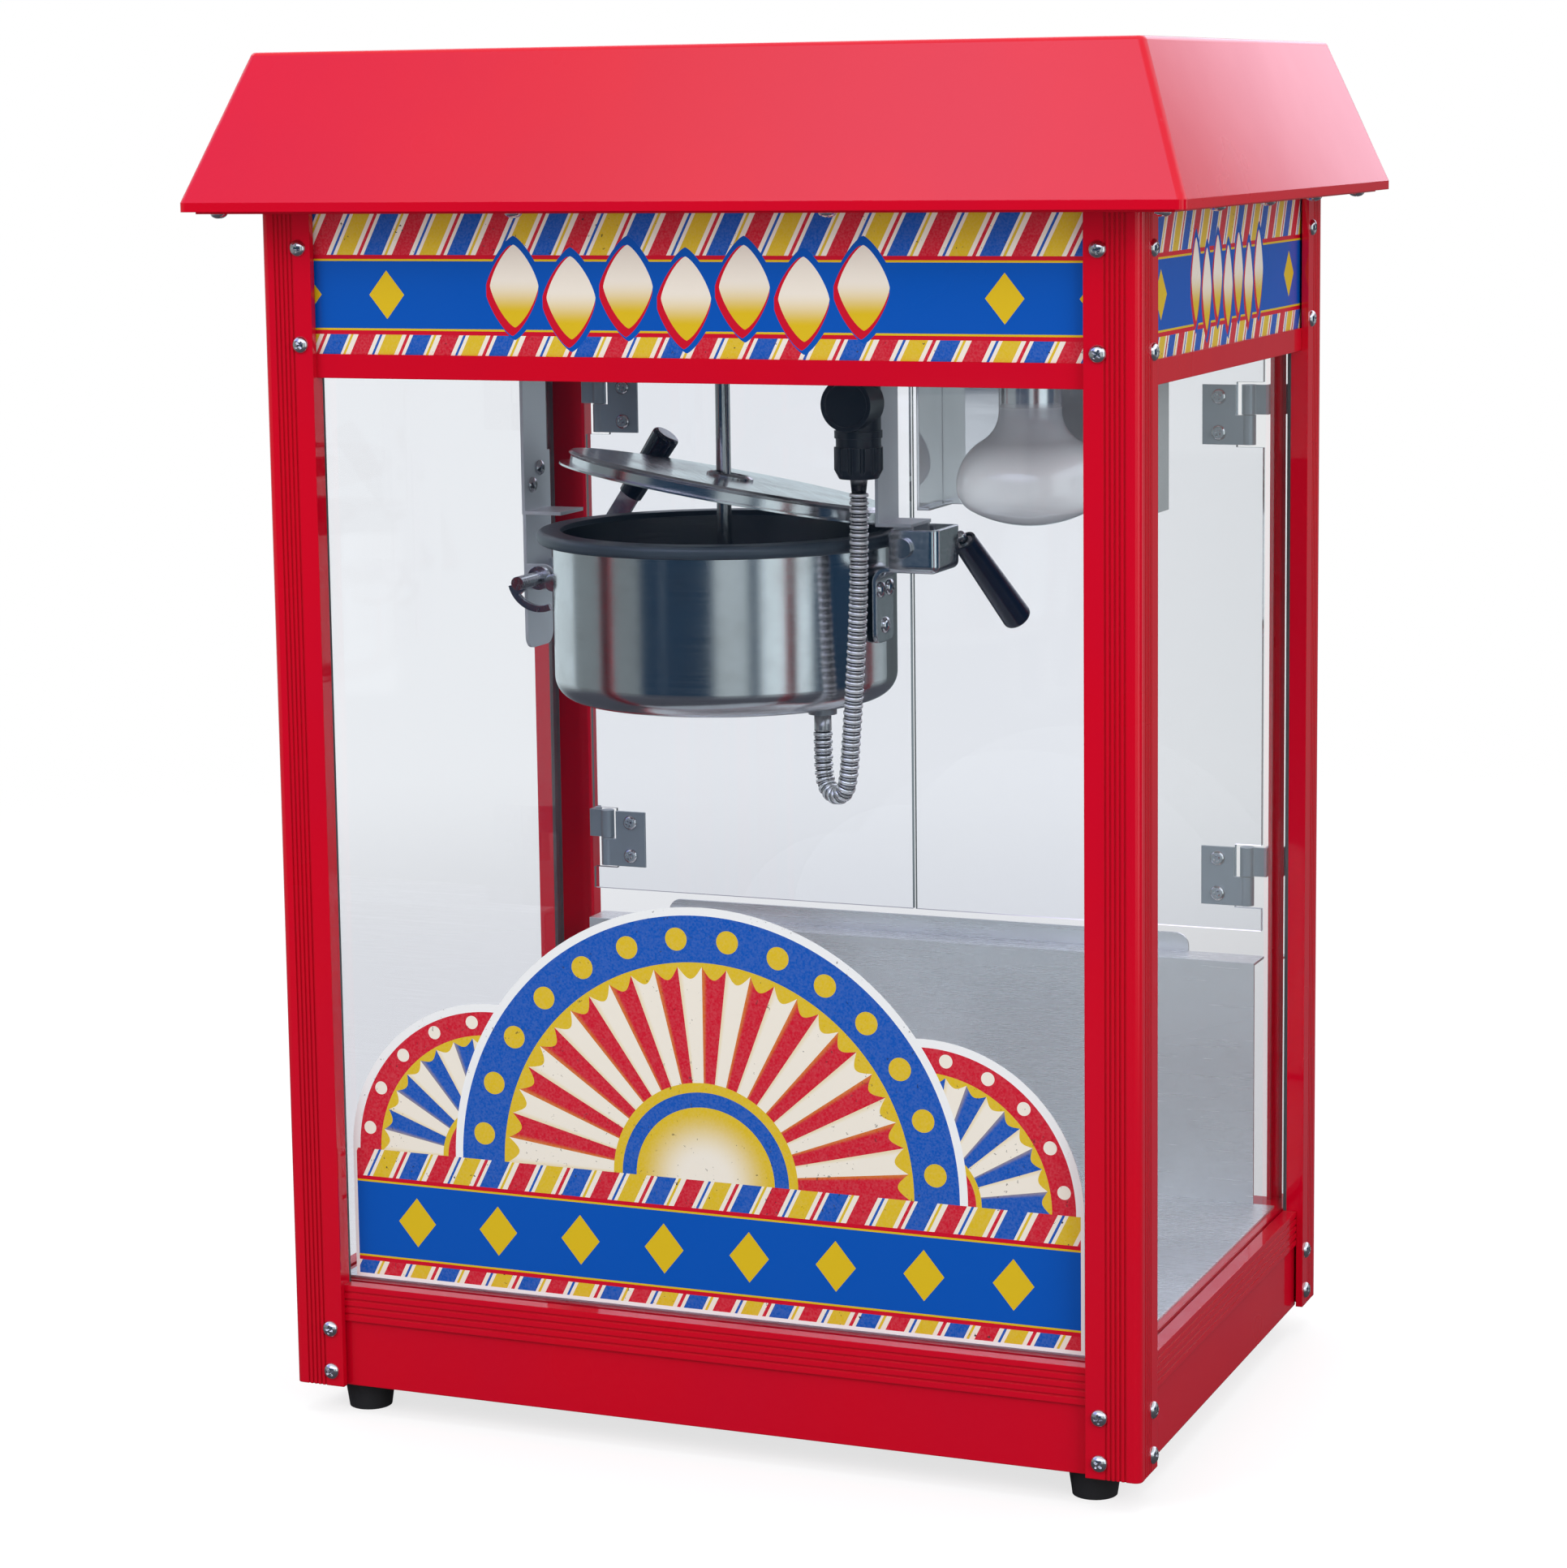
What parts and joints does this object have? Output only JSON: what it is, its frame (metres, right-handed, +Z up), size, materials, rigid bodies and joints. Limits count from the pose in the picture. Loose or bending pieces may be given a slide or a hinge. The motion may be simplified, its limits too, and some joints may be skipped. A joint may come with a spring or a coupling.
{
  "type": "popcorn maker",
  "caption": "Countertop popcorn maker: glazed cabinet with hipped roof, dumping kettle with lid and stirrer, latch lever, lamp, rear doors, switches and crumb drawer.",
  "frame": {"origin": "centre of the footprint on the surface that the feet stand on", "axes": "+Z up, front faces -Y, +X to the right seen from the front"},
  "size_m": [0.56, 0.42, 0.7575],
  "materials": {
    "red_paint": "glossy enamel",
    "red_extrusion": "glossy red enamel",
    "cream_sign": "printed sheet",
    "dark_plastic": "satin moulding",
    "grip_black": "glossy moulding",
    "steel": "brushed",
    "polished": "polished",
    "screw_steel": "plated",
    "black_rubber": "matt",
    "clear_glass": "clear",
    "clear_door": "clear acrylic",
    "print_film": "printed film",
    "alu": "cast",
    "lamp_glass": "frosted face",
    "motor_grey": "semi gloss",
    "white_plastic": "moulded",
    "brass_pin": "ground"
  },
  "bodies": {
    "cabinet": {"corner_posts": "red_extrusion", "post_screws": "screw_steel", "base_rails": "red_extrusion", "head_rails": "red_extrusion", "top_frame": "red_extrusion", "front_sign": "cream_sign", "side_signs": "cream_sign", "control_panel": "red_paint", "switch_frames": "dark_plastic", "mains_gland": "dark_plastic", "roof_shell": "red_paint", "roof_base": "red_paint", "roof_screws": "screw_steel", "feet": "black_rubber", "base_plate": "steel", "deck_plate": "polished", "rear_dam": "polished", "front_glass": "clear_glass", "side_glass": "clear_glass", "glass_seals": "dark_plastic", "front_print": "print_film", "door_hinges": "polished", "ceiling_plate": "polished", "right_hanger": "steel", "left_hanger": "steel", "latch_carrier": "steel", "hanger_screws": "screw_steel", "pivot_pin": "brass_pin", "gear_motor": "motor_grey", "lamp_bulb": "lamp_glass", "lamp_socket": "white_plastic", "lamp_reflector": "polished", "conduit_elbow": "dark_plastic", "gland_nut": "dark_plastic", "kettle_conduit": "steel"},
    "kettle": {"kettle_shell": "polished", "kettle_pan": "steel", "kettle_rim": "dark_plastic", "heating_element": "alu", "kettle_bracket": "steel", "kettle_screws": "screw_steel", "kettle_catch": "steel", "kettle_gland": "alu", "dump_rod": "steel", "dump_grip": "grip_black"},
    "latch": {"latch_shaft": "steel", "latch_lever": "steel", "latch_grip": "grip_black"},
    "lid": {"lid": "polished", "lid_bush": "steel"},
    "stirrer": {"stirrer_shaft": "steel", "stirrer_blade": "steel"},
    "left_door": {"left_door": "clear_door", "left_door_clamps": "polished"},
    "right_door": {"right_door": "clear_door", "right_door_clamps": "polished"},
    "lamp_switch": {"lamp_rocker": "grip_black"},
    "stir_switch": {"stir_rocker": "grip_black"},
    "heat_switch": {"heat_rocker": "grip_black"},
    "crumb_drawer": {"crumb_drawer": "red_paint"}
  },
  "joints": [
    {"name": "kettle_dump", "type": "hinge", "parent": "cabinet", "child": "kettle", "pos_m": [0.0655, -0.008, 0.483], "axis": [0, -1, 0], "range_deg": [0, 70], "deforming": ["kettle_conduit"]},
    {"name": "latch_turn", "type": "hinge", "parent": "cabinet", "child": "latch", "pos_m": [-0.177, 0, 0.454], "axis": [0, -1, 0], "range_deg": [0, 55]},
    {"name": "lid_tilt", "type": "hinge", "parent": "cabinet", "child": "lid", "pos_m": [0.02926, 0.0514, 0.48925], "axis": [-0.5299, 0.848, 0], "range_deg": [-11.2, 2]},
    {"name": "stirrer_spin", "type": "hinge", "parent": "cabinet", "child": "stirrer", "pos_m": [-0.053, 0, 0.417], "axis": [0, 0, 1], "continuous": true},
    {"name": "left_door_swing", "type": "hinge", "parent": "cabinet", "child": "left_door", "pos_m": [-0.206, 0.165, 0.408], "axis": [0, 0, 1], "range_deg": [0, 110]},
    {"name": "right_door_swing", "type": "hinge", "parent": "cabinet", "child": "right_door", "pos_m": [0.206, 0.165, 0.408], "axis": [0, 0, -1], "range_deg": [0, 110]},
    {"name": "lamp_switch_tip", "type": "hinge", "parent": "cabinet", "child": "lamp_switch", "pos_m": [-0.06, 0.1695, 0.627], "axis": [-1, 0, 0], "range_deg": [0, 16]},
    {"name": "stir_switch_tip", "type": "hinge", "parent": "cabinet", "child": "stir_switch", "pos_m": [0, 0.1695, 0.627], "axis": [-1, 0, 0], "range_deg": [0, 16]},
    {"name": "heat_switch_tip", "type": "hinge", "parent": "cabinet", "child": "heat_switch", "pos_m": [0.06, 0.1695, 0.627], "axis": [-1, 0, 0], "range_deg": [0, 16]},
    {"name": "drawer_slide", "type": "slide", "parent": "cabinet", "child": "crumb_drawer", "axis": [0, 1, 0], "range_m": [0, 0.2]}
  ]
}
